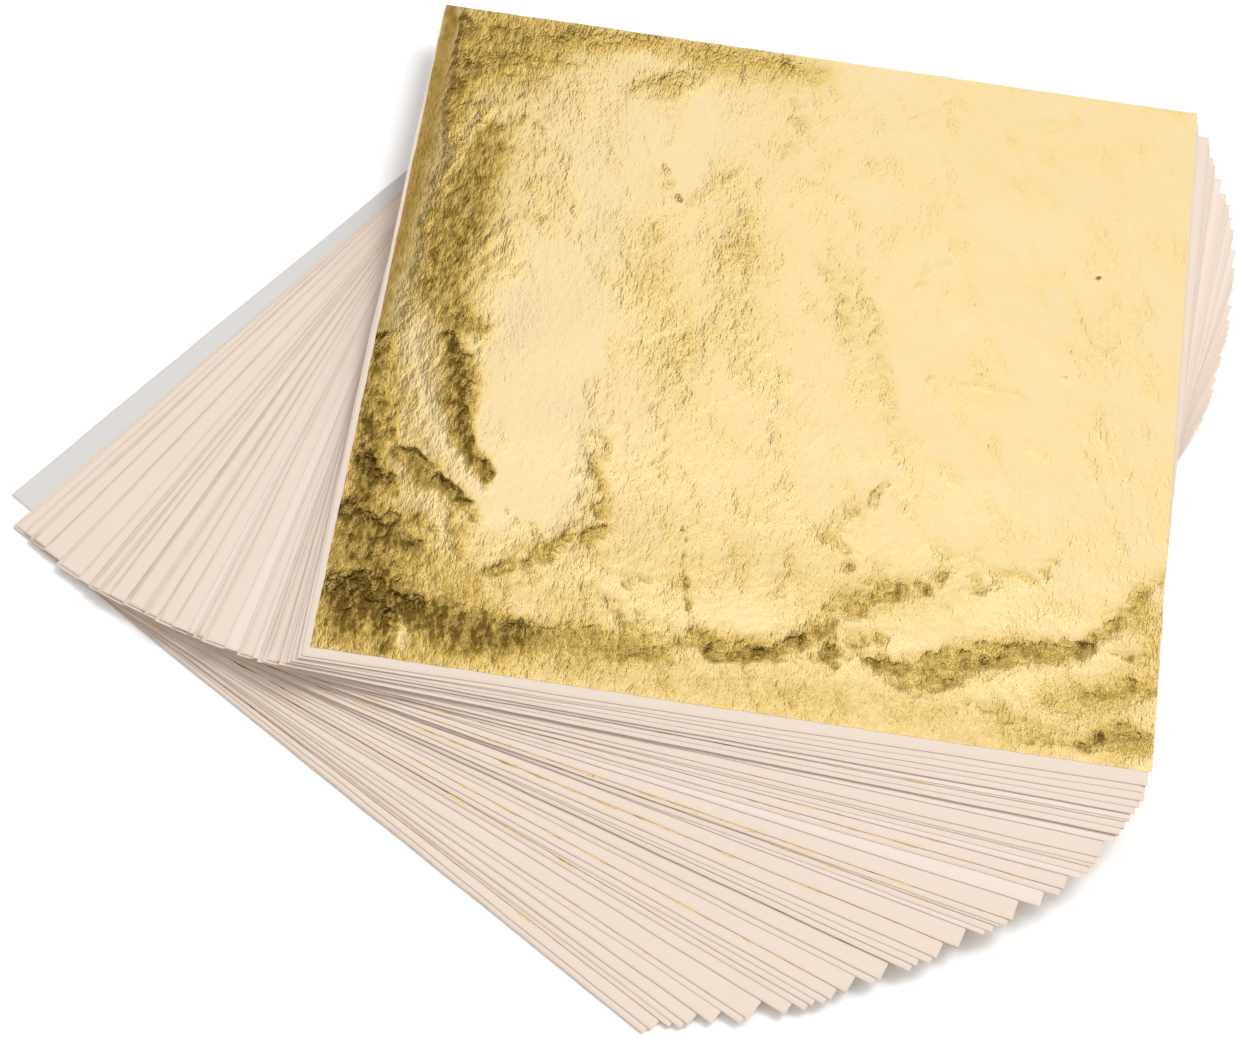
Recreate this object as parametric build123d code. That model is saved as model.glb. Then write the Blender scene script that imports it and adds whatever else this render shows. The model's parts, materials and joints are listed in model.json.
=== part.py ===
"""A fanned pack of loose metal leaf: square gold leaves, each held by a sheet of thin
tissue a little larger than itself, on one pale backing sheet. There is no spine and no
cover. The pack has been turned open like a hand of cards about one upright axis near
its left edges, and one gold leaf lies bare on top.

The frame's origin is on that axis, at the underside of the backing sheet. +Z is up,
and +X and +Y run along the front and left edges of the bare top leaf.
Lengths are millimetres and turns are degrees.
"""

from build123d import *
import math
import os

# The gold leaf, and where the fan's axis passes through a squared pack of it
leaf_side = 140.0
leaf_thickness = 0.012
axis_to_left_edge = 6.0
axis_to_back_edge = 38.0

# The tissue that carries each leaf, and the pale sheet under the whole pack
tissue_margin = 0.4
tissue_thickness = 0.11
backing_margin = 0.2
backing_thickness = 0.25
backing_drift_left = 3.0
backing_drift_back = 3.8

# Air between neighbours in a loosely stacked pack
air_gap = 0.03

# How far the fan is turned open, from the backing sheet to the bare leaf on top
fan_turn = 34.0

# How far the loosest step has slid off a true fan, towards its right and its front edge
right_drift_reach = 4.7
front_drift_reach = 3.05

# Close sheets in one step lie a little askew of each other
close_turn = 0.34
close_drift = 0.45

# Ragged edges of the beaten leaf, and how far it may creep out past its tissue
ragged_depth = 0.35
leaf_creep = 0.5
leaf_skew_turn = 0.22
points_per_edge = 11
points_per_top_edge = 33

# One entry for each step of the fan, from the lowest to the highest
turn_shares = [
    0.050, 0.078, 0.107, 0.141, 0.197, 0.252, 0.295, 0.325, 0.351, 0.407,
    0.452, 0.468, 0.504, 0.544, 0.592, 0.619, 0.644, 0.696, 0.749, 0.784,
    0.815, 0.837, 0.873, 0.905, 0.920, 0.940, 0.959, 0.990,
]
right_drift_shares = [
    -0.06, -0.03, 0.06, 0.21, 0.40, 0.59, 0.65, 0.69, 0.67, 0.73,
    0.78, 0.82, 0.86, 0.87, 0.88, 0.89, 0.94, 1.00, 0.95, 0.92,
    0.86, 0.76, 0.64, 0.45, 0.40, 0.28, 0.29, -0.05,
]
front_drift_shares = [
    -0.09, -0.08, -0.04, 0.06, 0.22, 0.35, 0.32, 0.33, 0.29, 0.27,
    0.27, 0.34, 0.45, 0.49, 0.54, 0.57, 0.67, 0.80, 0.87, 0.97,
    1.00, 0.97, 0.91, 0.90, 0.87, 0.85, 0.62, 0.53,
]
sheet_counts = [
    2, 1, 2, 1, 2, 1, 2, 2, 1, 2, 1, 2, 2, 1,
    1, 2, 2, 1, 2, 1, 2, 2, 1, 2, 3, 2, 3, 2,
]

# How far each leaf has crept out at the front of its tissue: 0 keeps it hidden
creep_shares = [
    0.0, 0.7, 0.0, 0.0, 0.5, 0.0, 0.6, 0.0, 0.8, 0.0,
    0.9, 0.4, 0.0, 1.0, 0.0, 0.7, 1.0, 0.0, 0.8, 0.6,
    0.0, 0.5, 0.0, 0.0, 0.6, 0.0, 0.0, 0.0,
]

# Waves that are added up along a ragged edge: cycles in one edge, and size
ragged_waves = (3, 7, 13)
ragged_wave_shares = (0.5, 0.3, 0.2)

tissue_side = leaf_side + 2 * tissue_margin
backing_side = leaf_side + 2 * backing_margin
middle_x = leaf_side / 2 - axis_to_left_edge
middle_y = axis_to_back_edge - leaf_side / 2


def square_outline(side):
    """The clean cut outline of a square sheet, centred on its own middle."""
    return Rectangle(side, side)


def ragged_outline(side, point_count, phase):
    """A square whose edges wander in and out, as the edges of beaten leaf do.

    Every edge has the same count of points. Each point is pushed inwards by a sum of
    sine waves, and the phase gives each leaf an edge of its own.
    """
    points = []
    for edge in range(4):
        along, across = Vector(1, 0).rotate(Axis.Z, 90 * edge), Vector(0, -1).rotate(Axis.Z, 90 * edge)
        for step in range(point_count):
            share = step / point_count
            waves = sum(
                size * math.sin(2 * math.pi * (cycles * share + phase * cycles + edge / 3))
                for cycles, size in zip(ragged_waves, ragged_wave_shares)
            )
            inset = ragged_depth * (1 + waves) / 2 if step else 0
            points.append(along * (side * (share - 1 / 2)) + across * (side / 2 - inset))
    return make_face(Polyline(*points, close=True))


def laid_sheet(outline, thickness, height, turn, right, front):
    """Lay a sheet in the fan: slide it off its place in the squared pack, then turn it."""
    sheet = extrude(outline, thickness)
    slid = Pos(middle_x + right, middle_y - front, height) * sheet
    return Rot(0, 0, turn) * slid


def write_node(name, solids):
    """Write one node, which holds one sheet or a few close ones."""
    shape = solids[0] if len(solids) == 1 else Compound(children=solids)
    shape.label = name
    export_step(shape, f"parts/{name}.step")
    print(f"{name}: {len(solids)} sheet(s), top at {shape.bounding_box().max.Z:.3f} mm")


def fan_step(index, height):
    """Make one step of the fan from its lowest sheet up, and return its new top height.

    The close sheets come first, then the gold leaf, then the tissue that covers it.
    """
    turn = fan_turn * (turn_shares[index] - 1)
    right = right_drift_reach * right_drift_shares[index]
    front = front_drift_reach * front_drift_shares[index]
    tissues = []
    for close in range(sheet_counts[index] - 1, 0, -1):
        height += air_gap
        tissues.append(
            laid_sheet(
                square_outline(tissue_side), tissue_thickness, height,
                turn - close_turn * close, right, front + close_drift * close,
            )
        )
        height += tissue_thickness
    height += air_gap
    creep = creep_shares[index]
    leaf = laid_sheet(
        ragged_outline(leaf_side, points_per_edge, turn_shares[index]), leaf_thickness, height,
        turn + leaf_skew_turn * creep, right, front + (tissue_margin + leaf_creep) * creep,
    )
    height += leaf_thickness + air_gap
    tissues.append(
        laid_sheet(square_outline(tissue_side), tissue_thickness, height, turn, right, front)
    )
    write_node(f"leaf_{index + 1:02d}", [leaf])
    write_node(f"tissue_{index + 1:02d}", tissues)
    return height + tissue_thickness


os.makedirs("parts", exist_ok=True)

backing = laid_sheet(
    square_outline(backing_side), backing_thickness, 0, -fan_turn,
    -backing_drift_left, -backing_drift_back,
)
write_node("backing_sheet", [backing])

height = backing_thickness
for index in range(len(turn_shares)):
    height = fan_step(index, height)

top_leaf = laid_sheet(
    ragged_outline(leaf_side, points_per_top_edge, 0), leaf_thickness, height + air_gap, 0, 0, 0
)
write_node("top_leaf", [top_leaf])

print(f"{sum(sheet_counts)} tissues, {len(turn_shares) + 1} leaves, {height:.2f} mm high")
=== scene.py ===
# %% [markdown]
# # A fanned pack of loose gold leaf
#
# The pack has no spine and no cover. It is a stack of peach tissue sheets with a beaten
# gold leaf under each, turned open like a hand of cards, with one crinkled leaf lying
# bare on top and one pale backing sheet below. Each step of this lesson makes one kind
# of piece or finish, and says why it is made in that way.
#
# The imported model comes in first. It is the frame that everything is placed by.

# %% Load the frame
import json
import math

import bpy
import numpy as np
from mathutils import Matrix, Vector


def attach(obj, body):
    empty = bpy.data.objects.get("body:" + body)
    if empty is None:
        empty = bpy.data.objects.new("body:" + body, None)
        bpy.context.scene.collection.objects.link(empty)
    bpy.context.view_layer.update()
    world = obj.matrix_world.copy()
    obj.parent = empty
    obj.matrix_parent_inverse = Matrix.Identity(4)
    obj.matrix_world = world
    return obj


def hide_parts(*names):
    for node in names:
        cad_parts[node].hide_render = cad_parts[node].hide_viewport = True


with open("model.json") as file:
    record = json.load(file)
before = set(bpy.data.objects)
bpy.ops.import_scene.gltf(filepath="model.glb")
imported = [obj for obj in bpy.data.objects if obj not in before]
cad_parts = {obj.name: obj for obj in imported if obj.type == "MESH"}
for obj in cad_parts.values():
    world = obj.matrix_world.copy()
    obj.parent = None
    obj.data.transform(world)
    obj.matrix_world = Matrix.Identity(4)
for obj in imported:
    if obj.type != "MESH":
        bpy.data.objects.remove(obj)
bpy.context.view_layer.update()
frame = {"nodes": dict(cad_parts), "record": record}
nodes = frame["nodes"]
slot_of_node = {part["node"]: part["material_slot"] for part in frame["record"]["subparts"]}
body_of_node = {
    node: body
    for body, held in frame["record"]["behaviour"]["bodies"].items()
    for node in held
}
mm = 0.001

# %% [markdown]
# ## The camera
#
# The photograph was taken from in front, looking well down at the pack with a long lens.
# The place, the line of sight and the small roll were worked out from the four corners
# of the bare leaf, which is a square of known size. A long focal length keeps the far
# edge of the leaf nearly as long as the near one.

# %% Camera
photo_width, photo_height = 1237, 1051
focal_length_px = 3789.9
sensor_width = 36.0
camera_place = Vector((56.455, -416.760, 549.215)) * mm
line_of_sight = Vector((-0.02408, 0.53975, -0.84148)).normalized()
camera_up = Vector((-0.14656, 0.83073, 0.53704)).normalized()

camera_data = bpy.data.cameras.new("photo_camera")
camera_data.sensor_width = sensor_width
camera_data.lens = focal_length_px / photo_width * sensor_width
camera_data.clip_start = 0.01
camera = bpy.data.objects.new("photo_camera", camera_data)
right = line_of_sight.cross(camera_up).normalized()
turned = Matrix((right, right.cross(line_of_sight), -line_of_sight)).transposed()
camera.matrix_world = Matrix.Translation(camera_place) @ turned.to_4x4()
bpy.context.collection.objects.link(camera)
bpy.context.scene.camera = camera


def to_photo(point):
    """Give the pixel of a point: its offsets across and down the view over its depth."""
    seen = camera.matrix_world.inverted() @ Vector(point)
    return (
        photo_width / 2 + focal_length_px * seen.x / -seen.z,
        photo_height / 2 - focal_length_px * seen.y / -seen.z,
    )


print("lens", round(camera_data.lens, 1), "mm")

# %% [markdown]
# ## Light
#
# Gold leaf is a mirror full of dents, so it shows what stands around it. One soft box
# beyond the pack fills the mirror direction of its smooth parts. It is only a little
# larger than they need, so they are bright and every wrinkle that leans away from it goes
# dark, whichever way it leans. Dimmer boxes on the other sides and one above keep the leaf
# gold from wherever it is seen. Paper needs plain light. Two suns and a small lamp at the
# right give it that, and their shadows draw the front and left edges of the sheets. These
# three don't show in metal.

# %% Lights, world and floor
scene = bpy.context.scene
scene.view_settings.view_transform = "Standard"
sheet_middle = Vector((64, -32, 8)) * mm
floor_half = 12.0
floor_depth = 0.05 * mm


def from_angles(azimuth, elevation):
    """A direction with azimuth 0 along +Y, growing towards +X, and elevation above the floor."""
    a, e = math.radians(azimuth), math.radians(elevation)
    return Vector((math.sin(a) * math.cos(e), math.cos(a) * math.cos(e), math.sin(e)))


def soft_box(name, azimuth, elevation, width, height, level, distance=1.5):
    """A rectangular lamp that faces the pack, given by its angles, sides and level.

    The level is how bright its face looks in a mirror: the power over pi and the area.
    """
    data = bpy.data.lights.new(name, "AREA")
    data.shape = "RECTANGLE"
    data.size, data.size_y = width, height
    data.energy = math.pi * width * height * level
    lamp = bpy.data.objects.new(name, data)
    direction = from_angles(azimuth, elevation)
    lamp.rotation_euler = direction.to_track_quat("Z", "Y").to_euler()
    lamp.location = sheet_middle + direction * distance
    bpy.context.collection.objects.link(lamp)
    return lamp


def plain_sun(name, azimuth, elevation, level, softness):
    """A sun that adds about its level to a white sheet lying flat, and no glint to metal."""
    data = bpy.data.lights.new(name, "SUN")
    data.energy = math.pi * level / math.sin(math.radians(elevation))
    data.angle = math.radians(softness)
    lamp = bpy.data.objects.new(name, data)
    lamp.rotation_euler = from_angles(azimuth, elevation).to_track_quat("Z", "Y").to_euler()
    lamp.visible_glossy = False
    bpy.context.collection.objects.link(lamp)
    return lamp


soft_box("beyond_box", 9, 51.5, 1.00, 1.04, 0.955)
soft_box("right_box", 110, 30, 1.7, 2.0, 0.52)
soft_box("left_box", -108, 30, 1.7, 2.0, 0.47)
soft_box("far_left_box", -56, 34, 0.9, 0.9, 0.4)
soft_box("far_right_box", 60, 28, 1.0, 1.1, 0.4)
soft_box("top_box", 0, 84, 1.0, 1.0, 0.7)
soft_box("near_box", 180, 38, 2.0, 1.2, 1.12)
plain_sun("main_sun", 43, 53, 0.38, 26)
plain_sun("left_sun", -34, 57, 0.10, 30)
right_lamp = soft_box("right_lamp", 74, 34, 0.25, 0.25, 3.4, 0.62)
right_lamp.visible_glossy = False

world = bpy.data.worlds.new("studio")
world.use_nodes = True
world.node_tree.nodes["Background"].inputs["Color"].default_value = (0.14, 0.13, 0.12, 1)
scene.world = world

floor_corners = ((-1, -1), (1, -1), (1, 1), (-1, 1))
floor_data = bpy.data.meshes.new("floor")
floor_data.from_pydata(
    [(x * floor_half, y * floor_half, -floor_depth) for x, y in floor_corners], [], [(0, 1, 2, 3)]
)
floor = bpy.data.objects.new("floor", floor_data)
bpy.context.collection.objects.link(floor)

# %% [markdown]
# ## Writing materials
#
# A material is a net of nodes. Sums on numbers read best as plain expressions, so a small
# class stands for one output of a node and turns each operator into a Math node. Every
# other node comes from one method that takes its type, its settings and its inputs.


# %% Sockets as values, and a material to add nodes to
class Value:
    """One number that changes over a surface. Operators on it add Math nodes."""

    def __init__(self, finish, socket):
        self.finish, self.socket = finish, socket

    def math(self, operation, *others, clamp=False):
        settings = {"operation": operation, "use_clamp": clamp}
        inputs = dict(enumerate((self, *others)))
        return self.finish.node("ShaderNodeMath", settings, inputs).value("Value")

    def __add__(self, other):
        return self.math("ADD", other)

    def __sub__(self, other):
        return self.math("SUBTRACT", other)

    def __mul__(self, other):
        return self.math("MULTIPLY", other)

    def __rsub__(self, other):
        return (self * -1).math("ADD", other)

    __radd__ = __add__
    __rmul__ = __mul__

    def limited(self):
        """The same number, held between 0 and 1."""
        return self.math("ADD", 0.0, clamp=True)


class Made:
    """A node that was made, whose outputs can be picked by name."""

    def __init__(self, finish, shader_node):
        self.finish, self.made = finish, shader_node

    def value(self, name):
        return Value(self.finish, self.made.outputs[name])

    def link(self, name):
        return self.made.outputs[name]


class Finish:
    """A material under a plain name, with its Principled shader at hand."""

    def __init__(self, name):
        self.material = bpy.data.materials.new(name)
        self.material.use_nodes = True
        self.tree = self.material.node_tree
        self.shader = self.tree.nodes["Principled BSDF"]

    def put(self, socket, what):
        """Feed a socket with a value, with another node's output, or with a constant."""
        if isinstance(what, Value):
            what = what.socket
        if isinstance(what, bpy.types.NodeSocket):
            self.tree.links.new(what, socket)
        else:
            socket.default_value = what

    def node(self, kind, settings=None, inputs=None):
        """Make a node of any kind, with its settings and its inputs by name."""
        made = self.tree.nodes.new(kind)
        for name, setting in (settings or {}).items():
            setattr(made, name, setting)
        for name, what in (inputs or {}).items():
            self.put(made.inputs[name], what)
        return Made(self, made)

    def mix(self, factor, first, second):
        """Blend two colours, from the first at factor 0 to the second at factor 1."""
        made = self.node(
            "ShaderNodeMix", {"data_type": "RGBA", "blend_type": "MIX", "clamp_factor": True}
        ).made
        self.put(made.inputs[0], factor)
        self.put(made.inputs[6], first)
        self.put(made.inputs[7], second)
        return made.outputs[2]

    def noise(self, scale, detail=2.0, roughness=0.5, stretch=(1, 1, 1), turn=0.0):
        """Noise on object coordinates, stretched and turned. The scale is in cells a metre."""
        where = self.node("ShaderNodeTexCoord").link("Object")
        placed = self.node(
            "ShaderNodeMapping", None,
            {"Vector": where, "Rotation": (0, 0, math.radians(turn)), "Scale": stretch},
        ).link("Vector")
        return self.node(
            "ShaderNodeTexNoise", None,
            {"Vector": placed, "Scale": scale, "Detail": detail, "Roughness": roughness},
        ).value("Fac")

    def attribute(self, name):
        """A number that the piece's own mesh holds at each of its points."""
        return self.node("ShaderNodeAttribute", {"attribute_name": name}).value("Fac")

    def bump(self, height, distance, strength=1.0):
        """Tilt the surface by a height, where the distance is what a height of 1 stands for."""
        made = self.node(
            "ShaderNodeBump", None,
            {"Height": height, "Distance": distance, "Strength": strength},
        )
        self.put(self.shader.inputs["Normal"], made.link("Normal"))

    def set(self, **values):
        """Feed inputs of the Principled shader, with underscores for their spaces."""
        for name, what in values.items():
            self.put(self.shader.inputs[name.replace("_", " ")], what)


print("the material helpers are ready")

# %% [markdown]
# ## Floor finish
#
# The pack lies on plain white. The floor is matte, so that it shows soft shadows only.

# %% Floor material
floor_finish = Finish("white_floor")
floor_finish.set(Base_Color=(0.97, 0.97, 0.975, 1), Roughness=0.9)
floor_finish.shader.inputs["Specular IOR Level"].default_value = 0.1
floor_data.materials.append(floor_finish.material)
print("floor finish:", floor_finish.material.name)

# %% [markdown]
# ## Tissue finish
#
# Interleaving tissue is thin, soft and slightly pink. Its colour drifts a little over a
# sheet where the fibres are denser, and its surface has a fine tooth. The cut edge and the
# last third of a millimetre before it are painted brown. This painted shade stands for the
# shade between the sheets. It follows the outline, so it is written on the mesh as an
# attribute and not drawn by a pattern in space.


# %% Paper materials
def paper(name, colour, thin_colour, edge_shade_colour):
    """Matte paper with cloudy fibres and a fine tooth, and painted shade along the rim."""
    finish = Finish(name)
    clouds = finish.noise(48, 3.0, 0.6)
    fibres = finish.noise(700, 3.0, 0.65, (1, 0.35, 1), 20)
    body = finish.mix(clouds * 0.75 + fibres * 0.35, colour, thin_colour)
    breaks = (finish.noise(260, 3.0, 0.65) * 2.2 - 0.6).limited()
    # The rim attribute carries painted shade along the cut edges, broken up by noise.
    edge_shade = finish.attribute("rim") * (breaks * 0.5 + 0.5)
    finish.set(Base_Color=finish.mix(edge_shade, body, edge_shade_colour), Roughness=0.82)
    finish.shader.inputs["Specular IOR Level"].default_value = 0.2
    finish.bump(fibres + finish.noise(2600, 2.0), 0.02 * mm, 0.5)
    return finish.material


# The last colour of each paper is its painted edge shade.
finishes = {
    "peach_tissue": paper(
        "peach_tissue", (0.72, 0.61, 0.524, 1), (0.69, 0.58, 0.494, 1), (0.36, 0.25, 0.18, 1)
    ),
    "pale_tissue": paper(
        "pale_tissue", (0.752, 0.646, 0.574, 1), (0.722, 0.62, 0.548, 1), (0.4, 0.3, 0.24, 1)
    ),
    "backing_paper": paper(
        "backing_paper", (0.612, 0.594, 0.58, 1), (0.588, 0.57, 0.556, 1), (0.5, 0.47, 0.45, 1)
    ),
}
print("paper finishes:", sorted(finishes))

# %% [markdown]
# ## Where each sheet lies
#
# A CAD node holds one flat sheet or a few close ones. Each sheet has one lowest and one
# highest level, so the levels tell the sheets of a node apart, and the four points that
# lie furthest from the middle are its corners.


# %% Read the sheets of a node
corner_apart = 0.5


def sheets_of(name):
    """List the sheets of a node from the lowest up: four corners and two levels each.

    Each corner is the furthest point that is left, and the points that lie less than
    corner_apart radians from it about the middle are then passed over. The corners go
    round from the front left one, as the angle grows.
    """
    mesh = nodes[name].data
    points = np.empty(len(mesh.vertices) * 3)
    mesh.vertices.foreach_get("co", points)
    points = points.reshape(-1, 3)
    levels = np.unique(points[:, 2].round(7))
    found = []
    for low, high in zip(levels[::2], levels[1::2]):
        flat = points[np.abs(points[:, 2] - low) < 1e-6][:, :2]
        offset = flat - (flat.min(0) + flat.max(0)) / 2
        angle = np.arctan2(offset[:, 1], offset[:, 0])
        reach = np.hypot(*offset.T)
        corners = []
        for _ in range(4):
            far = int(np.argmax(reach))
            corners.append((angle[far], flat[far]))
            apart = np.abs((angle - angle[far] + math.pi) % (2 * math.pi) - math.pi)
            reach[apart < corner_apart] = 0
        corners = [corner for _, corner in sorted(corners, key=lambda pair: pair[0])]
        found.append((np.array(corners), low, high))
    return found


(leaf_corners, leaf_low, leaf_high), = sheets_of("top_leaf")
leaf_side = np.hypot(*(leaf_corners[1] - leaf_corners[0]))
for corner in leaf_corners:
    pixel = [round(offset, 1) for offset in to_photo((*corner, leaf_high))]
    print("bare leaf corner", corner.round(4), "at pixel", pixel)

# %% [markdown]
# ## Noise that is the same on each run
#
# Paper edges wander and leaf crumples without a pattern, but the scene has to come out
# alike each time. Gradient noise does both: each whole point of a lattice gets a slope
# from a sum on its own coordinates, and the slopes are blended between the points.


# %% Gradient noise
def lattice_angle(i, j, seed):
    """An angle for a lattice point: its coordinates are scrambled by multiply and shift."""
    mixed = (i * 374761393 + j * 668265263 + seed * 974711 + 1013904223) & 0xFFFFFFFF
    mixed = ((mixed ^ (mixed >> 13)) * 1274126177) & 0xFFFFFFFF
    return ((mixed ^ (mixed >> 16)) & 0xFFFF) / 65536 * 2 * math.pi


def noise(x, y, seed):
    """Smooth noise of about -1 to 1: the slopes at four lattice points, blended by a quintic."""
    x0, y0 = np.floor(x).astype(np.int64), np.floor(y).astype(np.int64)
    fx, fy = x - x0, y - y0
    sx, sy = fx**3 * (fx * (fx * 6 - 15) + 10), fy**3 * (fy * (fy * 6 - 15) + 10)

    def slope(i, j):
        turn = lattice_angle(x0 + i, y0 + j, seed)
        return np.cos(turn) * (fx - i) + np.sin(turn) * (fy - j)

    low = slope(0, 0) * (1 - sx) + slope(1, 0) * sx
    high = slope(0, 1) * (1 - sx) + slope(1, 1) * sx
    return (low * (1 - sy) + high * sy) * 1.5


def folds(x, y, seed, octaves=3):
    """Ridged noise, as of crushed foil: 1 less twice the size of the noise, in octaves.

    The size is rounded at nothing, so that the ridges have soft tops.
    """
    total, size, share = 0, 1.0, 0
    for octave in range(octaves):
        bumps = noise(x * 2.03**octave, y * 2.03**octave, seed + octave)
        total = total + size * (1 - 2 * np.sqrt(bumps**2 + 0.02))
        share += size
        size *= 0.5
    return total / share


sample = noise(*np.meshgrid(np.linspace(0, 9, 50), np.linspace(0, 9, 50)), 3)
print("noise spans", sample.min().round(1), "to", sample.max().round(1))

# %% [markdown]
# ## Sheets as a profile carried round an outline
#
# A sheet of paper is almost all edge: its faces are flat, and what the eye sees in a pack
# is how the outline wanders. So a sheet is a small profile, in over the top, down the cut
# and back under the bottom, which is carried round the outline and closed by one flat face
# above and one below. Almost all of its points then lie where they are seen.


# %% Sheets with an edge profile
# Strengths of the painted rim shade at the right and back sides
right_edge_shade, back_edge_shade = 0.16, 0.12
profile_reach = 3.0 * mm


def outline_shares(points_per_side, wander, seed, cycles):
    """The outline of a unit square, wandering in and out by up to the given share.

    Each side runs from one corner to the next, and every point is pushed along the
    side's outward direction by two layers of noise. The push fades out at the corners.
    """
    along = np.arange(points_per_side) / points_per_side
    fade = np.minimum(1, 12 * np.minimum(along, 1 - along))
    sides = []
    for side in range(4):
        slow_row = np.full_like(along, seed * 0.37 + 0.5)
        fast_row = np.full_like(along, seed * 0.53 + 0.5)
        push = noise(along * cycles + 7.3 * side, slow_row, seed) * 0.7
        push += noise(along * cycles * 5 + 3.1 * side, fast_row, seed + 1) * 0.3
        forward = np.array([math.cos(side * math.pi / 2), math.sin(side * math.pi / 2)])
        outward = np.array([forward[1], -forward[0]])
        sides.append(
            0.5
            + forward * (along - 0.5)[:, None]
            + outward * (0.5 + wander * push * fade)[:, None]
        )
    return np.concatenate(sides)


def spread(corners, shares):
    """Place shares across and along between four corners, front left first."""
    u, v = shares[..., :1], shares[..., 1:]
    front = corners[0] + (corners[1] - corners[0]) * u
    back = corners[3] + (corners[2] - corners[3]) * u
    return front + (back - front) * v


def edge_shade_strengths(points_per_side, seed, front, left):
    """How strong the painted shade of the rim is at each outline point: four sides, each with a
    run of its own.

    A sheet has one strength for its front and one for its left side. The front fades to
    the right and the left one grows towards the front corner, with slow noise on both.
    """
    along = np.arange(points_per_side) / points_per_side
    slow = 0.75 + 0.5 * noise(along * 5 + seed * 1.7, np.full_like(along, 0.5), seed)
    return np.concatenate([
        front * (1 - 0.72 * along) * slow,
        np.full_like(along, right_edge_shade),
        np.full_like(along, back_edge_shade),
        left * (0.45 + 0.55 * along) * slow,
    ])


def rim_profile(thickness):
    """Steps of the edge profile: how far in, how high, and how strong the painted shade is, from
    above to below.
    """
    return [
        (profile_reach, thickness, 0.0),
        (0.75 * mm, thickness, 0.0),
        (0.32 * mm, thickness * 0.85, 0.55),
        (0.0, thickness * 0.50, 1.0),
        (0.0, thickness * 0.18, 1.0),
        (0.20 * mm, 0.0, 0.5),
        (profile_reach, 0.0, 0.0),
    ]


def edged_sheet(name, sheets):
    """One mesh of several sheets: outline, underside height, thickness and strengths of the
    painted rim shade.

    Ring k holds the outline moved towards the sheet's middle by the profile's step k.
    Neighbouring rings are joined by quads, and the first and last ring are filled.
    """
    points, faces, edge_shade, base = [], [], [], 0
    for outline, level, thickness, strengths in sheets:
        count = len(outline)
        inward = outline.mean(0) - outline
        half = np.abs(inward).max()
        profile = rim_profile(thickness)
        for inset, rise, shade_share in profile:
            ring = outline + inward * (inset / half)
            points.append(np.column_stack([ring, np.full(count, level + rise)]))
            edge_shade.append(strengths * shade_share)
        k = np.arange(count)
        after = np.roll(k, -1)
        for ring in range(len(profile) - 1):
            low, high = base + ring * count, base + (ring + 1) * count
            quads = np.column_stack([low + k, high + k, high + after, low + after])
            faces.extend(quads.tolist())
        faces.append((base + k).tolist())
        faces.append((base + (len(profile) - 1) * count + k[::-1]).tolist())
        base += len(profile) * count
    mesh = bpy.data.meshes.new(name)
    mesh.from_pydata(np.concatenate(points), [], faces)
    rim = mesh.attributes.new("rim", "FLOAT", "POINT")
    rim.data.foreach_set("value", np.concatenate(edge_shade))
    return mesh


def add_piece(name, mesh, material, node):
    """Put a finished mesh in the scene in place of a CAD node, riding on its body."""
    mesh.materials.append(material)
    piece = bpy.data.objects.new(name, mesh)
    bpy.context.collection.objects.link(piece)
    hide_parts(node)
    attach(piece, body_of_node[node])
    return piece


print("the sheet helpers are ready")

# %% [markdown]
# ## Tissue sheets
#
# Every tissue gets its own small faults: edges that bow by a few tenths of a millimetre,
# and painted shade along the rim at a strength drawn by chance, mostly little and now and
# then a lot. The upper sheets get fainter painted edge shade. Each sheet keeps inside the
# height that the packed model gives it, so that no sheet cuts through the next when the fan turns.

# %% Tissues and backing
paper_wander = 0.28 * mm
paper_points = 72
paper_cycles = 3
# Painted edge shade: its least strength, how it fades towards the upper sheets, and its faint
# strength on the backing and the top tissue
least_edge_shade = 0.12
fainter_from, fainter_gain, faint_edge_shade = 0.45, 0.72, 0.15

paper_nodes = ["backing_sheet"] + sorted(n for n in nodes if n.startswith("tissue_"))
for number, node in enumerate(paper_nodes):
    layers = []
    for index, (corners, low, high) in enumerate(sheets_of(node)):
        seed = 31 * number + 5 * index
        side = np.hypot(*(corners[1] - corners[0]))
        shares = outline_shares(paper_points, paper_wander / side, seed, paper_cycles)
        chance = np.random.default_rng(seed).random(2)
        upper = max(0, number / len(paper_nodes) - fainter_from) / (1 - fainter_from)
        shade_share = 1 - fainter_gain * upper
        if number in (0, len(paper_nodes) - 1):
            shade_share = faint_edge_shade
        front = shade_share * (least_edge_shade + chance[0] ** 1.9)
        left = shade_share * (least_edge_shade + chance[1] ** 1.8)
        strengths = edge_shade_strengths(paper_points, seed, front, left)
        layers.append((spread(corners, shares), low, high - low, strengths))
    slot, piece_name = slot_of_node[node], f"{node}_paper"
    add_piece(piece_name, edged_sheet(piece_name, layers), finishes[slot], node)
print(f"{len(paper_nodes)} paper pieces")
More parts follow.
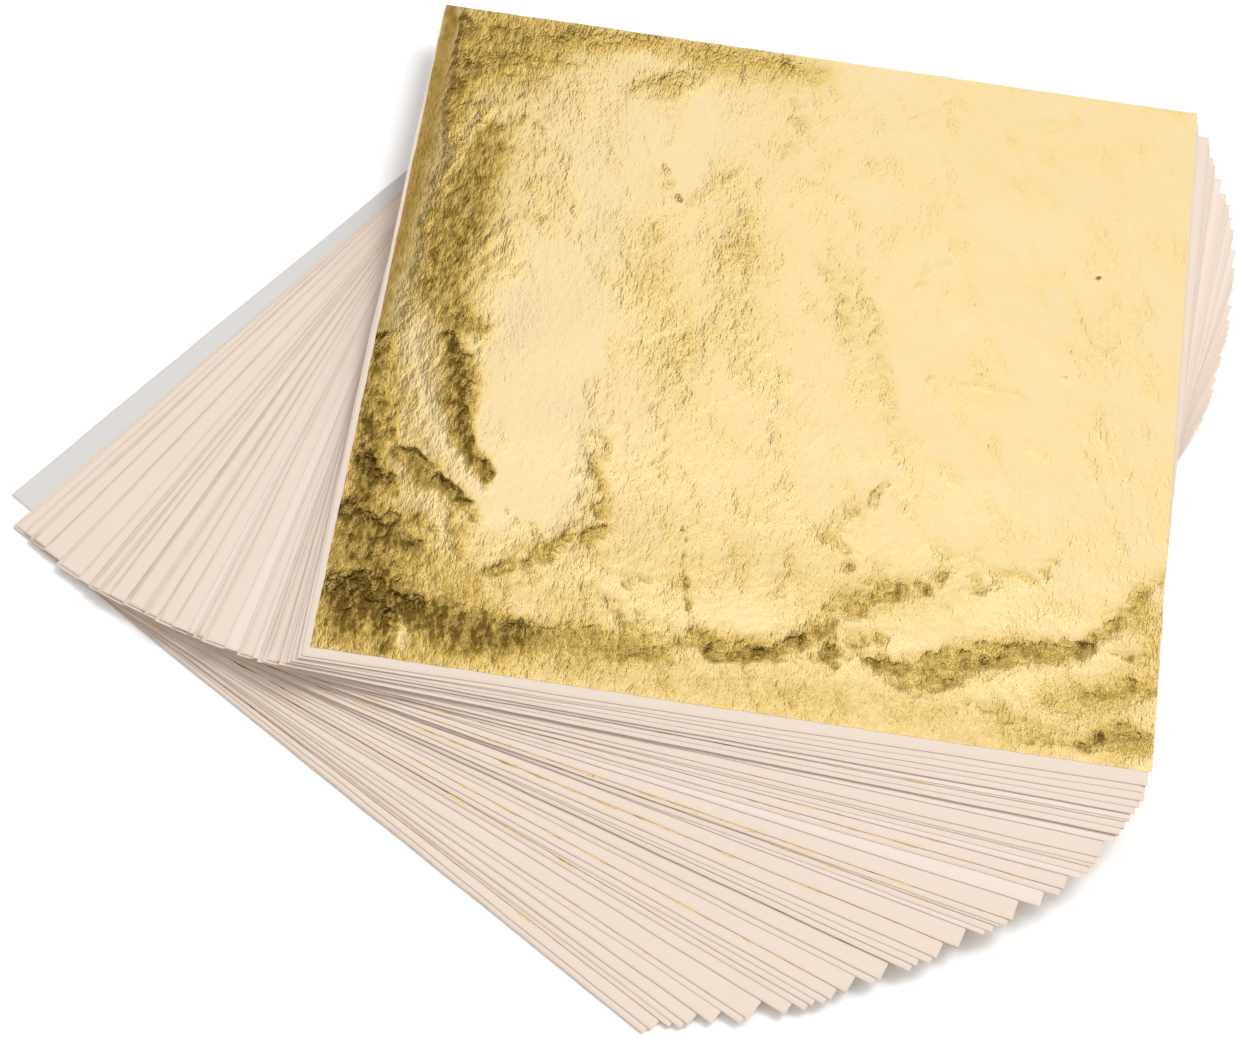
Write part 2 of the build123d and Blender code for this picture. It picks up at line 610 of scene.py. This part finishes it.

# %% [markdown]
# ## Gold finish
#
# Beaten leaf is bare metal, so its colour is all in its reflections. It is polished by the
# tissue where it lies flat, and it turns matt where it is crushed. There its colour is
# painted warmer, which stands for the light its folds mirror into each other. Two numbers
# follow the surface: how crushed it is, and how much painted shade a fold gets. Both are
# attributes that the relief writes on the mesh, and they steer the finish below. The
# hidden leaves show only broken slivers of their front edges, so noise alone serves them
# and gives them a darker tone at random.


# %% Gold materials
def beaten_gold(name, bright, dull, mirrored_warmth, shaded_gold, worked=True):
    """Metal that is rougher where crushed, and painted warmer there for the light its folds mirror
    into each other.

    Worked gold takes its painted shade and crush from the mesh, and plain gold takes a random
    darker tone and its crush from noise. The grain, facets and wrinkles are bump, in sizes
    from half a millimetre to two.
    """
    finish = Finish(name)
    if worked:
        shade_and_tone, crush = finish.attribute("shade_and_tone"), finish.attribute("crush")
    else:
        shade_and_tone = (finish.noise(260, 2.0) * 2.2 - 0.9).limited()
        crush = finish.noise(90) * 0.3
    drift = finish.noise(60, 3.0, 0.6)
    grain = finish.noise(2300, 2.0, 0.6, (1, 0.45, 1), -38)
    facets = finish.noise(1000, 3.0, 0.6, (1, 0.4, 1), -38)
    bends = (finish.noise(430, 3.0, 0.6, (1, 0.42, 1), -30) - 0.5) * 7
    wrinkles = (1 - bends.math("ABSOLUTE")).limited()
    flat = finish.mix((drift * 1.6 - 0.4).limited(), bright, dull)
    # Painted warmth where crushed, for the light the folds mirror into each other
    with_mirrored_warmth = finish.mix((crush * 1.5 + shade_and_tone).limited(), flat, mirrored_warmth)
    broken = 1 + (crush * 2.0).limited() * ((facets * 5.0 - 2.0).limited() - 0.5)
    # Painted shade, broken into facets where the leaf is crushed
    colour = finish.mix((shade_and_tone * broken).limited(), with_mirrored_warmth, shaded_gold)
    finish.set(Base_Color=colour, Metallic=1.0, Roughness=0.22 - 0.02 * crush)
    fine = (grain * 0.6 + facets) * (0.09 + crush * (0.35 + crush))
    finish.bump(fine + wrinkles * crush * crush * 0.3, 0.5 * mm)
    return finish.material


bare_gold = beaten_gold(
    "bare_gold_leaf", (0.918, 0.748, 0.442, 1), (0.9, 0.722, 0.41, 1),
    (0.96, 0.67, 0.19, 1), (0.27, 0.165, 0.03, 1),
)
edge_gold = beaten_gold(
    "gold_leaf", (0.96, 0.72, 0.34, 1), (0.9, 0.62, 0.24, 1),
    (0.9, 0.6, 0.17, 1), (0.42, 0.22, 0.05, 1), worked=False,
)
print("gold finishes:", bare_gold.name, edge_gold.name)

# %% [markdown]
# ## Hidden leaves
#
# Under each tissue lies a gold leaf with a torn edge. Where it has crept out at the front,
# its fringe shows as a thin broken line of gold. Its edge is much rougher than that of
# cut paper, so it wanders by a few tenths of a millimetre in short steps. The front is
# drawn in towards its left end, where the photograph shows no gold.

# %% Leaves under the tissues
leaf_wander = 0.42 * mm
fringe_points, fringe_cycles, fringe_seed = 150, 26, 900
left_pull, front_push = 0.6 * mm, 0.12 * mm

leaf_nodes = sorted(n for n in nodes if n.startswith("leaf_"))
for number, node in enumerate(leaf_nodes):
    (corners, low, high), = sheets_of(node)
    seed, piece_name = fringe_seed + 7 * number, f"{node}_gold"
    shares = outline_shares(fringe_points, leaf_wander / leaf_side, seed, fringe_cycles)
    near_front = shares[:, 1] < 0.1
    from_right = 1 - shares[near_front, 0]
    shares[near_front, 1] += (left_pull * from_right**2 - front_push) / leaf_side
    layer = (spread(corners, shares), low, high - low, np.zeros(len(shares)))
    add_piece(piece_name, edged_sheet(piece_name, [layer]), edge_gold, node)
print(f"{len(leaf_nodes)} hidden leaves")

# %% [markdown]
# ## The relief of the bare leaf
#
# The leaf was laid down by hand. It is smooth in its far right quarter, pulled into long
# folds along the front, and crushed at the left. The places were read off the photograph
# as millimetres from the leaf's front left corner. Two kinds of mark draw them, each a
# short chain of such points. A patch is a wide area that is smoother or more crushed than
# the rest, and darker by painted shade or lighter where painted shade is taken away. A
# crease is a narrow bundle of wrinkles, which runs along its chain and has painted shade on
# one side, where a fold in foil is shaded.

# %% Strokes on the leaf
# Patches are worked areas: half width, painted shade (below 0 it takes painted shade away), crush,
# then the chain of points in mm.
patches = [
    # The whole left border, the near left corner and the front get painted shade
    (15.0, 0.17, 0.04, [(6, 0), (7, 70), (7, 140)]),
    (9.0, 0.38, 0.10, [(2, 4), (12, 5), (26, 5)]),
    (4.5, 0.20, 0.12, [(2, 21), (13, 19), (26, 15)]),
    (7.0, 0.25, 0.05, [(22, 4), (50, 4), (84, 4), (130, 3)]),
    (6.5, 0.17, 0.05, [(24, 18), (42, 15)]),
    (8.0, 0.14, 0.04, [(14, 26), (40, 27), (75, 27), (104, 26)]),
    (7.0, 0.20, 0.08, [(3, 137), (12, 138), (24, 138)]),
    # The pulled-down left border, smooth as satin, and the crushed strip inside it, both with
    # painted shade
    (3.0, 0.66, -0.80, [(0.4, 66), (0.8, 100), (1.0, 143)]),
    (4.2, 0.50, 0.08, [(8.5, 74), (8, 90), (9.5, 104), (13, 112)]),
    (3.4, 0.42, 0.06, [(13, 72), (12, 84), (13.5, 96), (15.5, 108)]),
    (2.6, 0.20, 0.30, [(4.5, 136), (5.5, 124), (5.5, 110)]),
    (1.7, -0.30, 0.25, [(6.5, 98), (8, 108), (12, 117)]),
    # The far left corner and the far edge
    (8.0, 0.34, 0.25, [(9, 126), (20, 133)]),
    (5.0, 0.20, 0.28, [(24, 136), (38, 137), (52, 136.5), (70, 136)]),
    (3.2, 0.10, 0.25, [(38, 127), (49, 130)]),
    (2.6, -0.12, -0.18, [(34, 134), (46, 133.5)]),
    # The smooth dish left of the middle, where painted shade is taken away
    (10.0, -0.5, -0.32, [(31, 34), (30.5, 60), (29.5, 84)]),
    (6.0, -0.2, -0.16, [(33, 96), (38, 108), (40, 120)]),
    (4.2, -0.4, -0.25, [(50, 129), (50.5, 118), (50, 107)]),
    # A streak of painted shade beside it, and one that bounds it and takes painted shade away
    (2.7, 1.0, 0.60, [(13, 66), (16.5, 58), (17.5, 48), (21, 42), (23.5, 37.5)]),
    (3.0, 0.42, 0.35, [(12, 70), (18, 68)]),
    (1.5, -0.6, -0.10, [(6.5, 68), (8.5, 56), (12.5, 48), (17, 41.5), (23, 34.5)]),
    (1.6, -0.3, 0.00, [(14, 33), (19, 25)]),
    # The crumpled near left corner
    (3.6, 0.60, 0.50, [(1, 62), (2, 46), (3, 34)]),
    (2.0, 0.55, 0.45, [(2, 37.5), (9, 33)]),
    (2.2, 0.50, 0.45, [(0.5, 28), (8, 25.5), (14, 22)]),
    (1.8, 0.45, 0.50, [(10, 41), (14, 36), (21, 31.5)]),
    (7.0, 0.42, 0.42, [(3, 30), (4, 16), (5, 8)]),
    (4.4, 0.68, 0.50, [(2, 12), (8, 11), (15, 9.5)]),
    (1.7, -0.22, -0.25, [(14.2, 2.5), (15.2, 5.5)]),
    (4.0, 0.64, 0.48, [(16, 10.5), (24, 8.5), (34, 7.5)]),
    (3.2, 0.26, 0.40, [(34, 9), (46, 9), (58, 8.5)]),
    # Worked bands along the front and round the near right corner
    (2.4, 0.20, 0.28, [(62, 13), (74, 12.5), (82, 16)]),
    (3.2, 0.16, 0.28, [(94, 12.5), (104, 13.5), (116, 18), (126, 20.5)]),
    (5.0, 0.12, 0.30, [(122, 11), (131, 13), (138, 17)]),
    (4.0, 0.20, 0.35, [(132, 5), (139, 5)]),
    (3.4, 0.14, 0.30, [(136, 34), (139, 24)]),
    # Soft worked areas of the middle
    (6.5, 0.04, 0.14, [(45, 93), (49, 78), (54, 60)]),
    (6.0, 0.03, 0.11, [(60, 100), (62, 86), (67, 66)]),
    (4.0, 0.02, 0.09, [(77, 96), (84, 78), (90, 62)]),
    (4.0, 0.02, 0.10, [(50, 108), (60, 106)]),
    (3.0, 0.01, 0.06, [(98, 70), (114, 68)]),
    (2.6, 0.01, 0.05, [(112, 92), (118, 98)]),
]

# Creases are bundles of thin wrinkles: half width, painted shade (below 0 it takes painted shade
# away), height, then the chain in mm.
# They are sharp on the right hand of the chain's run and fade to the left. The last two
# are pinholes.
creases = [
    # The far left quarter
    (0.9, 0.21, 0.08, [(27.5, 130), (20, 129.5), (13, 131)]),
    (0.9, 0.19, 0.07, [(13, 135.5), (5, 134.5)]),
    (0.8, 0.19, 0.07, [(18, 120.5), (10, 118), (5, 122)]),
    (0.9, 0.29, 0.1, [(22, 114), (19, 116.5), (15.5, 112.5)]),
    (1, 0.15, 0.08, [(23, 109), (16, 108), (11.5, 103)]),
    (0.8, 0.15, 0.07, [(25, 103), (20, 100), (17, 99)]),
    (0.7, 0.13, 0.06, [(28.5, 91), (26, 94), (21, 93)]),
    (0.9, 0.1, 0.08, [(19, 92), (16, 86), (17, 78)]),
    (0.7, 0.12, 0.06, [(50, 130), (43, 125.5), (37, 124)]),
    (0.8, 0.21, 0.08, [(66, 128), (68, 121), (66, 115)]),
    (0.6, 0.44, 0.08, [(49, 102.5), (47.5, 105), (45, 110)]),
    (0.7, 0.28, 0.08, [(51, 101), (53, 105), (57, 108.5)]),
    (0.9, 0.12, 0.08, [(60, 96), (62, 91), (62, 85)]),
    # The near left quarter
    (0.9, 0.5, 0.14, [(11.5, 37), (8, 42), (6.5, 47)]),
    (0.9, 0.46, 0.12, [(15, 36), (19, 32.5), (23, 29)]),
    (0.8, 0.42, 0.1, [(0, 45.5), (4, 44), (8, 39)]),
    (0.8, 0.46, 0.12, [(6, 30), (11, 27), (16, 26)]),
    (0.8, 0.42, 0.1, [(19, 29), (20.5, 26), (21, 22)]),
    (0.8, 0.38, 0.1, [(29, 31.5), (31, 29), (34, 28)]),
    (0.8, 0.46, 0.14, [(7, 18), (10, 14), (13, 11.5)]),
    (0.9, 0.58, 0.2, [(11.8, 8), (11.3, 4.5), (12.5, 1.5)]),
    # Two lines that take painted shade away, as painted highlights
    (0.6, -0.6, 0.12, [(9, 10), (12, 8.5), (15, 7.5)]),
    (0.6, -0.5, 0.12, [(9.5, 19), (12, 14), (14, 9)]),
    # Folds between the dish and the middle
    (1.3, 0.50, 0.18, [
        (27, 19), (33, 21.5), (38, 26), (43, 29.5), (45, 32), (44, 37), (42, 43), (42.5, 49),
    ]),
    (0.15, 0.54, 0.03, [(57.5, 33), (58.5, 28), (60, 22), (61, 17)]),
    (0.35, 0.21, 0.04, [(46, 23), (54, 22), (61, 22.5)]),
    (0.5, 0.36, 0.04, [(50, 21), (51.5, 21)]),
    # The long fold along the front, in three runs, and its branch
    (1.4, 0.58, 0.20, [
        (66, 10), (72, 10.5), (78, 12.5), (82, 16), (85, 20), (90, 24), (96, 27), (103, 31),
    ]),
    (1.2, 0.34, 0.15, [(45, 18), (50, 15), (54, 12), (60, 11), (66, 10.5)]),
    (1.1, 0.42, 0.16, [(83.5, 12), (86, 13), (90, 16), (94, 18)]),
    (0.7, 0.42, 0.14, [(85, 18), (84.5, 15), (85, 11)]),
    (1.4, 0.54, 0.20, [
        (91, 13), (95, 11), (101, 10.5), (106, 13), (110, 16), (116, 18), (122, 20), (128, 22),
    ]),
    (1, 0.28, 0.12, [(100, 14), (106, 17), (112, 20)]),
    # The near right corner
    (1.1, 0.42, 0.14, [(126, 21), (131, 25), (135, 31), (140, 38)]),
    (1, 0.42, 0.14, [(131, 22), (135, 21.5), (140, 20)]),
    (0.9, 0.34, 0.12, [(127, 12), (131, 13), (135, 15.5), (140, 15)]),
    (0.9, 0.38, 0.12, [(128, 3), (133, 6), (140, 6)]),
    (0.8, 0.28, 0.1, [(119, 3), (124, 3.5), (129, 2)]),
    (0.7, 0.16, 0.1, [(109, 8), (114, 6.5), (119, 5.5)]),
    # Fainter creases of the right half
    (1, 0.31, 0.12, [(109, 30), (112, 32), (117, 33), (121, 37)]),
    (0.8, 0.16, 0.08, [(103, 35), (107, 37.5), (108, 33), (107, 29)]),
    (0.7, 0.1, 0.06, [(90, 32), (98, 31.5)]),
    (0.9, 0.42, 0.13, [(87, 30), (85, 33), (83.5, 36), (86, 41), (89, 44), (91, 48)]),
    (0.8, 0.14, 0.08, [(76, 24), (77, 29), (75, 33)]),
    (0.9, 0.14, 0.1, [(91, 62), (89, 70), (87, 77), (85, 86)]),
    (0.9, 0.14, 0.1, [(83, 73), (82, 79), (79, 87), (74, 95)]),
    (0.8, 0.1, 0.08, [(81, 90), (82.5, 95), (80, 100)]),
    (0.8, 0.1, 0.08, [(92, 90), (94, 94), (97, 97)]),
    (0.7, 0.1, 0.08, [(54, 48), (53, 53), (51, 57)]),
    (0.6, 0.08, 0.06, [(97, 71), (105, 71.5), (113, 70)]),
    (0.6, 0.06, 0.06, [(121, 88), (126, 90), (128, 97)]),
    (0.15, 0.72, 0.03, [(124.2, 99.5), (125, 99.5)]),
    (0.15, 0.63, 0.03, [(118.8, 76), (119.4, 76)]),
]
print(len(patches), "patches and", len(creases), "creases")

# %% [markdown]
# The marks are summed on a grid. Each adds its numbers times a bell of the distance to its
# chain, and the distance is bent by noise, so that nothing runs as a clean line. Inside a
# crease the noise is drawn out along the chain, which gives the bundle of wrinkles. Under
# it all lies a low pillow: the leaf clings to the tissue round its border and lifts a
# little inside. The grid is finer at the left and near borders, where most folds are.

# %% Relief, tone and crush on a grid
leaf_points = 300
pillow_height = 0.55
finer_at_start = 0.38
crease_spread, crease_lean = 1.6, 1.4
# Slopes steeper than steep_from get painted shade over steep_range, up to the last number
steep_from, steep_range, steep_shade = 0.14, 0.4, 0.55


def soft_step(x):
    """Rise from 0 to 1 over 0 to 1 with level ends: three squares less two cubes."""
    x = np.clip(x, 0, 1)
    return x * x * (3 - 2 * x)


def chain_bell(u, v, chain, half_width, lean=1.0):
    """A bell across a chain of points, with the places along and across it in mm.

    The bell narrows towards both ends. It is wider by the lean on the left hand of the
    run and narrower by it on the right.
    """
    nearest, along, across, reached = np.full_like(u, 1e9), np.zeros_like(u), np.zeros_like(u), 0
    for (au, av), (bu, bv) in zip(chain[:-1], chain[1:]):
        du, dv = bu - au, bv - av
        length = math.hypot(du, dv)
        share = np.clip(((u - au) * du + (v - av) * dv) / length**2, 0, 1)
        distance = np.hypot(u - au - share * du, v - av - share * dv)
        closer = distance < nearest
        nearest = np.where(closer, distance, nearest)
        along = np.where(closer, reached + share * length, along)
        across = np.where(closer, distance * np.sign(du * (v - av) - dv * (u - au)), across)
        reached += length
    width = half_width * (0.55 + 0.45 * np.sin(math.pi * np.clip(along / reached, 0.02, 0.98)))
    width = width * np.where(across > 0, lean, 1 / lean)
    return np.exp(-((nearest / width) ** 2)), along, across


def ripples(u, v, turn, long, short, seed):
    """Folded noise drawn out along a direction: cells are long that way and short across."""
    a = math.radians(turn)
    along, across = u * math.cos(a) + v * math.sin(a), v * math.cos(a) - u * math.sin(a)
    sway = 0.35 * noise(u / (2.5 * short), v / (2.5 * short), seed + 90)
    return folds(along / long + sway, across / short + sway, seed)


def leaf_relief(u, v, side):
    """Height in mm, painted shade and crush at each point of the leaf, from the strokes and noise.

    Every stroke adds its bell times its numbers. The height is a pillow with ripples in
    three directions, which grow with crush and die out at the border, and slopes that are
    steeper than steep_from get painted shade, for the dark that they would mirror.
    """
    bent_u = u + 1.1 * noise(u / 6, v / 6, 11) + 0.55 * noise(u / 1.7, v / 1.7, 12)
    bent_v = v + 1.1 * noise(u / 6, v / 6, 13) + 0.55 * noise(u / 1.7, v / 1.7, 14)
    calm = soft_step((u - 35) / 70) * soft_step((v - 12) / 55)
    crush = 0.20 - 0.07 * calm + 0.09 * noise(u / 11, v / 11, 17) + 0.06 * noise(u / 4, v / 4, 18)
    crush += 0.10 * soft_step(noise(u / 3.5 + v / 9, v / 8, 23) * 2.0 - 0.2)
    shade_and_tone = np.zeros_like(u)
    height = np.zeros_like(u)
    mottle = 0.85 + 0.35 * noise(u / 2.6, v / 2.6, 15) + 0.3 * noise(u / 0.9, v / 0.9, 16)
    # Each patch adds painted shade by its depth, broken by mottle where it darkens and crushes
    for half_width, depth, crushing, chain in patches:
        bell, _, _ = chain_bell(bent_u, bent_v, chain, half_width)
        shade_and_tone += depth * bell * (mottle if depth > 0 and crushing > 0 else 1)
        crush += crushing * bell
    for number, (half_width, depth, rise, chain) in enumerate(creases):
        bell, along, across = chain_bell(
            bent_u, bent_v, chain, half_width * crease_spread, crease_lean
        )
        bell = bell * np.clip(0.75 + 0.9 * noise(u / 2.4, v / 2.4, 19), 0.2, 1)
        wrinkle = folds(across / 1.2 + 0.3 * noise(along, across, 70), along / 3.6, 71 + number, 2)
        # Painted shade along the crease's wrinkles
        shade_and_tone += 1.35 * depth * bell * np.clip(1.3 * wrinkle - 0.1, 0, 1)
        height += rise * bell * (0.25 + 1.1 * wrinkle)
        crush += 0.5 * bell * abs(depth)
    crush = np.clip(crush, 0.04, 1.2)
    pillow = soft_step(u / 16) * soft_step(v / 30)
    pillow = pillow * soft_step((side - u) / 30) * soft_step((side - v) / 30)
    height += pillow_height * pillow
    height += 0.2 * noise(u / 15, v / 15, 21) * pillow
    back = soft_step((v - 95) / 25) * soft_step((75 - u) / 30)
    front = soft_step((45 - v) / 25)
    middle = np.clip(1 - back - front, 0, 1)
    drawn = (
        back * ripples(u, v, 3, 5.0, 2.0, 31)
        + middle * ripples(u, v, 55, 5.5, 2.8, 41)
        + front * ripples(u, v, 24, 5.0, 2.4, 51)
    )
    drawn = drawn - drawn.mean()
    border = np.minimum(np.minimum(u, side - u), np.minimum(v, side - v))
    fine = folds(u / 1.6, v / 1.6, 61, 2)
    height += (0.36 * crush * drawn + 0.13 * crush * fine) * soft_step(border / 4)
    height = np.maximum(height, 0) * soft_step(border / 2)
    slope_v, slope_u = np.gradient(height, v[:, 0], u[0])
    steep = soft_step((np.hypot(slope_u, slope_v) - steep_from) / steep_range)
    # Painted shade on steep slopes, save in the calm area
    shade_and_tone = np.clip(shade_and_tone + steep_shade * steep * (1 - calm), 0, 1)
    return height, shade_and_tone, crush


side_mm = leaf_side / mm
shares_in = np.linspace(0, 1, leaf_points)
shares_in = (1 - finer_at_start) * shares_in + finer_at_start * shares_in**2
grid_u, grid_v = np.meshgrid(shares_in * side_mm, shares_in * side_mm)
height_mm, shade_and_tone, crush = leaf_relief(grid_u, grid_v, side_mm)
print("relief up to", height_mm.max().round(2), "mm, mean crush", crush.mean().round(2))

# %% [markdown]
# ## The bare leaf
#
# The grid becomes the leaf's upper face. Its border is torn a little, so the rim wanders
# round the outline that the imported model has. One flat face closes it below, and a narrow
# wall joins the two. The edge between them is marked sharp, or the light on the rim would
# be that of the wall.


# %% Bare leaf
# How far the grid reaches past the corners, and how deep a tear is, as shares of a side
overhang_share = 0.0017
tear_share = 0.16 / 140
border_falloff, tears_per_side = 60, 34
sharp_turn = 60


def torn_grid(shares, wander, seed):
    """Push the grid's border in by noise, fading by an exponential towards the middle."""
    u, v = np.meshgrid(shares, shares)
    depth_u = np.exp(-np.minimum(u, 1 - u) * border_falloff) * np.sign(0.5 - u)
    depth_v = np.exp(-np.minimum(v, 1 - v) * border_falloff) * np.sign(0.5 - v)
    row = np.full_like(u, 0.5)
    ragged_u = 0.5 + 0.5 * noise(v * tears_per_side + (u > 0.5) * 9, row, seed)
    ragged_v = 0.5 + 0.5 * noise(u * tears_per_side + (v > 0.5) * 9, row, seed + 1)
    return np.dstack([u + wander * depth_u * ragged_u, v + wander * depth_v * ragged_v])


def leaf_mesh(name, corners, low, high, height, shade_and_tone, crush):
    """Close a relief grid with a wall and one flat face, and write its two attributes."""
    n = height.shape[0]
    reaching = shares_in * (1 + 2 * overhang_share) - overhang_share
    place = spread(corners, torn_grid(reaching, tear_share, 61))
    top = np.dstack([place, high + height * mm]).reshape(-1, 3)
    grid = np.arange(n * n).reshape(n, n)
    quads = np.stack([grid[:-1, :-1], grid[:-1, 1:], grid[1:, 1:], grid[1:, :-1]], -1)
    quads = quads.reshape(-1, 4)
    rim = np.concatenate([grid[0, :-1], grid[:-1, -1], grid[-1, :0:-1], grid[:0:-1, 0]])
    below = top[rim].copy()
    below[:, 2] = low
    under = n * n + np.arange(len(rim))
    wall = np.column_stack([rim, under, np.roll(under, -1), np.roll(rim, -1)])
    mesh = bpy.data.meshes.new(name)
    mesh.from_pydata(
        np.concatenate([top, below]), [], quads.tolist() + wall.tolist() + [under[::-1].tolist()]
    )
    # The painted shade and the crush go on the mesh as point attributes
    for label, values in (("shade_and_tone", shade_and_tone), ("crush", crush)):
        attribute = mesh.attributes.new(label, "FLOAT", "POINT")
        flat = values.reshape(-1)
        attribute.data.foreach_set("value", np.concatenate([flat, flat[rim]]))
    mesh.polygons.foreach_set("use_smooth", np.arange(len(mesh.polygons)) < len(quads))
    mesh.set_sharp_from_angle(angle=math.radians(sharp_turn))
    return mesh


bare_leaf_mesh = leaf_mesh(
    "bare_leaf", leaf_corners, leaf_low, leaf_high, height_mm, shade_and_tone, crush
)
add_piece("bare_leaf", bare_leaf_mesh, bare_gold, "top_leaf")
print("bare leaf faces:", len(bare_leaf_mesh.polygons))
